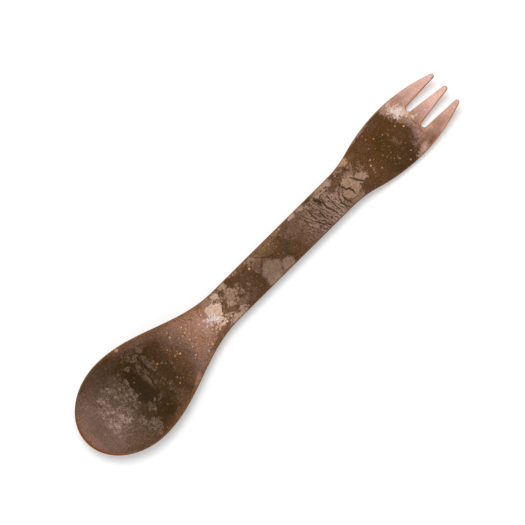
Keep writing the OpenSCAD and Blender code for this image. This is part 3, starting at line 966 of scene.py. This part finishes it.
class Shader:
    """Short names for the nodes of a material or world. Most calls give an output socket."""

    def __init__(self, owner):
        owner.use_nodes = True
        self.tree = owner.node_tree
        self.tree.nodes.clear()

    def node(self, kind, inputs, **settings):
        """Adds a node, with its settings, and sets or links its inputs."""
        made = self.tree.nodes.new(kind)
        for key, value in settings.items():
            setattr(made, key, value)
        for key, value in inputs.items():
            if isinstance(value, bpy.types.NodeSocket):
                self.tree.links.new(value, made.inputs[key])
            else:
                made.inputs[key].default_value = value
        return made

    def attribute(self, name, output="Fac"):
        return self.node("ShaderNodeAttribute", {}, attribute_name=name).outputs[output]

    def math(self, operation, a, b=0.0):
        return self.node("ShaderNodeMath", {0: a, 1: b}, operation=operation).outputs[0]

    def plus(self, a, b):
        return self.math("ADD", a, b)

    def minus(self, a, b):
        return self.math("SUBTRACT", a, b)

    def times(self, a, b):
        return self.math("MULTIPLY", a, b)

    def step(self, value, low, high, to_low=0.0, to_high=1.0):
        inputs = {"Value": value, "From Min": low, "From Max": high, "To Min": to_low, "To Max": to_high}
        return self.node("ShaderNodeMapRange", inputs, interpolation_type="SMOOTHSTEP").outputs["Result"]

    def mix(self, share, a, b, blend="MIX"):
        kind = {"data_type": "RGBA", "blend_type": blend}
        return self.node("ShaderNodeMix", {0: share, 6: a, 7: b}, **kind).outputs[2]

    def between(self, share, a, b):
        return self.node("ShaderNodeMix", {0: share, 2: a, 3: b}).outputs[0]

    def shade(self, tone, factor):
        """A colour made brighter or darker by a factor that varies over the surface."""
        grey = self.node("ShaderNodeCombineColor", {0: factor, 1: factor, 2: factor}).outputs[0]
        return self.mix(1.0, tone, grey, "MULTIPLY")

    def stretch(self, place, scale):
        return self.node("ShaderNodeMapping", {"Vector": place, "Scale": scale}).outputs["Vector"]

    def noise(self, place, size, detail=3.0, rough=0.5, bend=0.0):
        inputs = {"Vector": place, "Scale": 1 / size, "Detail": detail, "Roughness": rough}
        return self.node("ShaderNodeTexNoise", {**inputs, "Distortion": bend}).outputs["Fac"]

    def cells(self, place, size):
        return self.node("ShaderNodeTexVoronoi", {"Vector": place, "Scale": 1 / size}).outputs

    def seen_directly(self):
        """1 for rays that come from the camera, from a gloss or through glass, and 0 for all others."""
        path = self.node("ShaderNodeLightPath", {}).outputs
        seen = self.math("MAXIMUM", path["Is Camera Ray"], path["Is Glossy Ray"])
        return self.math("MAXIMUM", seen, path["Is Transmission Ray"])


def solid(tone):
    return (*colour(tone), 1)


def add_ground(s, place, fine):
    """The painted ground with grain, faint blotches and drifts of tint.
    The tines' grain is faint and runs lengthwise."""
    grain = s.attribute("grain")
    streak = s.noise(s.stretch(place, (0.6, 1.0, 1.0)), STREAK_SIZE, rough=0.8)
    lively = s.step(s.between(grain, streak, fine), 0.3, 0.8, -0.45, 0.86)
    tone = s.plus(1.0, s.times(lively, grain))
    blotch = s.step(s.noise(place, BLOTCH_SIZE, rough=0.6), 0.3, 0.7, -0.08, 0.08)
    tone = s.times(tone, s.plus(1.0, s.times(blotch, s.times(grain, grain))))
    drift = s.noise(place, DRIFT_SIZE, rough=0.6, bend=0.4)
    tint = s.mix(s.step(drift, 0.35, 0.65), (1.06, 0.98, 0.97, 1), (0.96, 1.0, 0.98, 1))
    return s.mix(grain, s.shade(s.attribute("ground", "Color"), tone), tint, "MULTIPLY")


def add_moss(s, place, under):
    """Clouds of fine clumps. Gives the colour and how much of it is moss."""
    density = s.attribute("lichen")
    strand = s.noise(s.stretch(place, (1.0, 0.5, 1.0)), STRAND_SIZE, detail=4, rough=0.75, bend=0.8)
    low = s.minus(0.64, s.times(density, 0.34))
    share = s.times(s.step(strand, low, s.plus(low, 0.18)), s.step(density, 0.02, 0.25))
    thread = s.noise(s.stretch(place, (1.0, 0.7, 1.0)), THREAD_SIZE, detail=4, rough=0.68, bend=1.2)
    thread = s.math("ABSOLUTE", s.minus(thread, 0.5))
    tone = s.step(thread, 0.0, 0.13, 1.55, 0.55)
    share = s.times(share, s.step(thread, 0.05, 0.16, 1.0, 0.6))
    return s.mix(s.times(share, 0.9), under, s.shade(s.attribute("lichen_colour", "Color"), tone)), share


def add_veins(s, place, under):
    """Bark-like grooves and crests that run across the handle. Gives the colour and the grooves."""
    along = s.node("ShaderNodeSeparateXYZ", {0: s.attribute("vein_place", "Vector")}).outputs["X"]
    bend = s.noise(s.stretch(place, (1.0, 0.6, 1.0)), VEIN_BEND_SIZE, detail=4, rough=0.65)
    bend = s.times(s.minus(bend, 0.5), VEIN_BEND)
    wave = s.math("FRACT", s.plus(s.times(along, 1 / VEIN_GAP), bend))
    broken = s.step(s.noise(place, VEIN_BREAK_SIZE, rough=0.6), 0.38, 0.46)
    shown = s.times(s.attribute("bark"), broken)
    groove = s.times(s.times(s.step(wave, 0.22, 0.32, 1.0, 0.0), s.step(wave, 0.0, 0.06)), shown)
    crest = s.times(s.times(s.step(wave, 0.34, 0.44), s.step(wave, 0.6, 0.8, 1.0, 0.0)), shown)
    crested = s.mix(s.times(crest, 0.6), under, solid("tan"))
    return s.mix(groove, crested, solid("dark olive")), groove


def add_flakes(s, place, under, fine):
    """Pale flakes with ragged edges, pits and hairline cracks. Gives the colour and the flakes' cover."""
    edge = s.noise(place, RAGGED_SIZE, detail=5, rough=0.78, bend=0.3)
    ragged = s.times(s.minus(edge, 0.5), RAGGED)
    cover = s.step(s.plus(s.attribute("flake"), ragged), -0.1, 0.25)
    pits = s.step(s.noise(s.stretch(place, (1.0, 0.8, 1.0)), PIT_SIZE, rough=0.7), 0.34, 0.46)
    craze = s.noise(place, CRAZE_SIZE, detail=4, rough=0.7, bend=0.8)
    craze = s.step(s.math("ABSOLUTE", s.minus(craze, 0.5)), 0.0, 0.035)
    whole = s.times(s.step(pits, 0.0, 1.0, 0.6, 1.0), s.step(craze, 0.0, 1.0, 0.6, 1.0))
    tone = s.times(s.step(fine, 0.27, 0.73, 0.74, 1.22), s.step(edge, 0.3, 0.7, 0.84, 1.11))
    cover = s.times(cover, whole)
    return s.mix(cover, under, s.shade(s.attribute("flake_colour", "Color"), tone)), cover


def add_grains(s, place, under, size, faintest, strongest):
    """Grains from brown to apricot, mixed with a brighter copy of what is under them.
    Each cell of this size holds one at most."""
    cells = s.cells(place, size)
    draw = s.node("ShaderNodeSeparateColor", {"Color": cells["Color"]}).outputs
    chosen = s.math("LESS_THAN", draw[0], s.attribute("speckle"))
    spot = s.times(s.step(cells["Distance"], 0.13, 0.3, 1.0, 0.0), chosen)
    tone = s.mix(draw[1], solid("edge brown"), solid("apricot"))
    tone = s.mix(0.5, tone, s.shade(under, s.step(draw[1], 0.0, 1.0, 1.35, 2.0)))
    return s.mix(s.times(spot, s.step(draw[2], 0.3, 1.0, faintest, strongest)), under, tone)


def add_specks(s, place, under):
    """Fine grains, larger ones between them, and the listed bright ones."""
    shown = add_grains(s, place, under, SMALL_GRAIN, 0.1, 0.7)
    shown = add_grains(s, s.stretch(place, (0.9, 1.1, 1.0)), shown, LARGE_GRAIN, 0.35, 1.0)
    return s.mix(s.step(s.attribute("speck"), 0.3, 0.85), shown, s.attribute("speck_colour", "Color"))


def composite():
    """Mottled composite: ground, moss-like clouds, bark-like veins, flakes, specks, cracks and a cut edge."""
    material = bpy.data.materials.new("composite")
    s = Shader(material)
    metres = s.node("ShaderNodeTexCoord", {}).outputs["Object"]
    place = s.node("ShaderNodeVectorMath", {0: metres, "Scale": 1 / MM}, operation="SCALE").outputs[0]
    fine = s.noise(place, FINE_SIZE, rough=0.65)
    shown = add_ground(s, place, fine)
    shown, moss = add_moss(s, place, shown)
    shown, groove = add_veins(s, place, shown)
    shown, flake = add_flakes(s, place, shown, fine)
    shown = add_specks(s, place, shown)
    crack = s.attribute("crack")
    shown = s.mix(s.times(crack, 0.9), shown, solid("peat"))
    edge_tone = s.shade(s.attribute("edge_colour", "Color"), s.step(fine, 0.2, 0.8, 0.75, 1.25))
    shown = s.mix(s.attribute("edge"), shown, edge_tone)

    height = s.plus(s.times(flake, 0.5), s.times(fine, 0.3))
    height = s.minus(height, s.times(groove, 0.8))
    height = s.plus(s.minus(height, crack), s.times(moss, 0.3))
    inputs = {"Height": height, "Strength": BUMP_STRENGTH, "Distance": BUMP_DEPTH * MM}
    bump = s.node("ShaderNodeBump", inputs).outputs[0]
    roughness = s.plus(s.step(fine, 0.2, 0.8, 0.4, 0.6), s.times(flake, 0.12))
    inputs = {"Base Color": shown, "Roughness": roughness, "Normal": bump, "Specular IOR Level": GLOSS}
    body = s.node("ShaderNodeBsdfPrincipled", inputs).outputs[0]
    s.node("ShaderNodeOutputMaterial", {"Surface": body})
    return material


def add_object(name, data):
    made = bpy.data.objects.new(name, data)
    bpy.context.scene.collection.objects.link(made)
    return made


# The spork

# The veins lean less and less between these places
VEIN_LEAN_X = (114, 133)
VEIN_LEAN = (0.6, 0.1)

PAINTED = [
    "ground", "grain", "lichen", "lichen_colour", "flake", "flake_colour", "bark", "crack", "speckle",
    "speck", "speck_colour", "edge", "edge_colour",
]


def store(mesh, name, values):
    kind, field = ("FLOAT_COLOR", "color") if values.ndim == 2 else ("FLOAT", "value")
    if values.ndim == 2:
        values = np.column_stack([values, np.ones(len(values))])
    mesh.attributes.new(name, kind, "POINT").data.foreach_set(field, values.astype(np.float32).ravel())


def paint_top(top):
    for paint in (paint_bowl, paint_neck, paint_handle, paint_bark, paint_fork_root, paint_fork_head):
        paint(top)
    for half, path in CRACKS:
        top.split(np.array(path, float), half)
    for tone, spots in FLECKS.items():
        each(top.fleck, spots, tone=tone)


def make_spork():
    points, faces, on_top = build_surface(fine_places())
    outline = full_outline()
    apart, nearest = nearest_of(points[:, :2], outline)
    lower = inward(outline)[nearest, 1]
    top, under = Canvas(points[on_top]), Canvas(points[~on_top])
    paint_top(top)
    paint_under(under)
    paint_edge(top, apart[on_top], lower[on_top])
    paint_edge(under, apart[~on_top], lower[~on_top])

    mesh = bpy.data.meshes.new("spork_moulding")
    mesh.from_pydata(((points - [LENGTH / 2, 0, 0]) * MM).tolist(), [], faces)
    mesh.polygons.foreach_set("use_smooth", [True] * len(mesh.polygons))
    for name in PAINTED:
        store(mesh, name, np.concatenate([getattr(top, name), getattr(under, name)]))
    x, y, z = points.T
    store(mesh, "vein_place", np.column_stack([x + np.interp(x, VEIN_LEAN_X, VEIN_LEAN) * y, y, z]))
    mesh.materials.append(composite())
    piece = add_object("spork_moulding", mesh)
    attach(piece, "root")
    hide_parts("spork")
    return piece


# Stage

LIGHT_DISTANCE = 2.5
KEY_LAMP = {"azimuth": 61, "elevation": 70.5, "width": 1.0, "share": 0.64}
SIDE_LAMP = {"azimuth": 180, "elevation": 40, "width": 2.2, "share": 0.12}
WORLD_SHARE = 0.26
FLOOR_SIZE = 6
FLOOR_GAP = 0.02
FLOOR_TONE = 0.76
FLOOR_GLOW = 0.34


def make_floor():
    material = bpy.data.materials.new("paper")
    s = Shader(material)
    paper = s.node("ShaderNodeBsdfDiffuse", {"Color": (FLOOR_TONE, FLOOR_TONE, FLOOR_TONE, 1)}).outputs[0]
    glow = s.node("ShaderNodeEmission", {"Strength": s.times(s.seen_directly(), FLOOR_GLOW)}).outputs[0]
    both = s.node("ShaderNodeAddShader", {0: paper, 1: glow}).outputs[0]
    s.node("ShaderNodeOutputMaterial", {"Surface": both})
    mesh = bpy.data.meshes.new("floor")
    half = FLOOR_SIZE / 2
    corners = [(-half, -half), (half, -half), (half, half), (-half, half)]
    mesh.from_pydata([(x, y, -FLOOR_GAP * MM) for x, y in corners], [], [(0, 1, 2, 3)])
    mesh.materials.append(material)
    floor = add_object("floor", mesh)


def make_lamp(name, azimuth, elevation, width, share):
    """A square soft lamp that gives this share of a plain light level on a level surface."""
    azimuth, elevation = math.radians(azimuth), math.radians(elevation)
    up, out = math.sin(elevation), math.cos(elevation)
    direction = Vector((math.cos(azimuth) * out, math.sin(azimuth) * out, up))
    data = bpy.data.lights.new(name, "AREA")
    data.size = width
    data.energy = share * math.pi ** 2 * LIGHT_DISTANCE ** 2 / up
    lamp = add_object(name, data)
    lamp.location = direction * LIGHT_DISTANCE
    lamp.rotation_mode = "QUATERNION"
    lamp.rotation_quaternion = direction.to_track_quat("Z", "Y")


def make_world():
    """White where it is seen, and a weaker light on everything else."""
    world = bpy.data.worlds.new("studio")
    bpy.context.scene.world = world
    s = Shader(world)
    inputs = {"Value": s.seen_directly(), "To Min": WORLD_SHARE}
    strength = s.node("ShaderNodeMapRange", inputs).outputs["Result"]
    background = s.node("ShaderNodeBackground", {"Color": (1, 1, 1, 1), "Strength": strength}).outputs[0]
    s.node("ShaderNodeOutputWorld", {"Surface": background})


def make_camera():
    """Straight above the spork, turned so that it lies across the picture as in the photo."""
    from_ref = np.array([PHOTO_SIZE / 2, PHOTO_SIZE / 2]) - PHOTO_REF
    x = (from_ref @ PHOTO_ALONG + PHOTO_REF_X) * MM_PER_PIXEL - LENGTH / 2
    y = from_ref @ PHOTO_ACROSS * MM_PER_PIXEL
    height = PHOTO_SIZE * MM_PER_PIXEL * CAMERA_LENS / CAMERA_SENSOR + FORK_TIP_Z
    data = bpy.data.cameras.new("camera")
    data.lens = CAMERA_LENS
    data.sensor_width = CAMERA_SENSOR
    camera = add_object("camera", data)
    camera.location = Vector((x, y, height)) * MM
    camera.rotation_euler = (0, 0, -PHOTO_ANGLE)
    bpy.context.scene.camera = camera


bpy.context.scene.view_settings.view_transform = "Standard"
make_spork()
make_floor()
make_world()
make_lamp("key", **KEY_LAMP)
make_lamp("side", **SIDE_LAMP)
make_camera()
